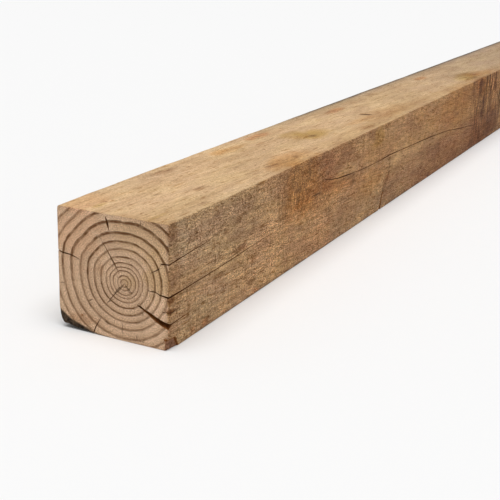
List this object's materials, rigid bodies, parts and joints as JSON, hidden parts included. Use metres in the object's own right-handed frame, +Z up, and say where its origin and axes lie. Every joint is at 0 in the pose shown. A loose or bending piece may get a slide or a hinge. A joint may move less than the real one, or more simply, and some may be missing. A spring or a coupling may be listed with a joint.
{
  "type": "timber beam",
  "caption": "Square sawn chestnut beam with boxed heart, drying checks and a strip of wane, for posts, lintels and frames.",
  "frame": {"origin": "middle of the bottom face, on the floor that the beam lies on", "axes": "+X along the beam, away from the crosscut end with the open checks, +Z up, and -Y towards the face with the long check"},
  "size_m": [2.5, 0.15, 0.15],
  "materials": {
    "chestnut": "sawn, dry and unfinished"
  },
  "bodies": {
    "root": {"beam": "chestnut"}
  },
  "joints": []
}
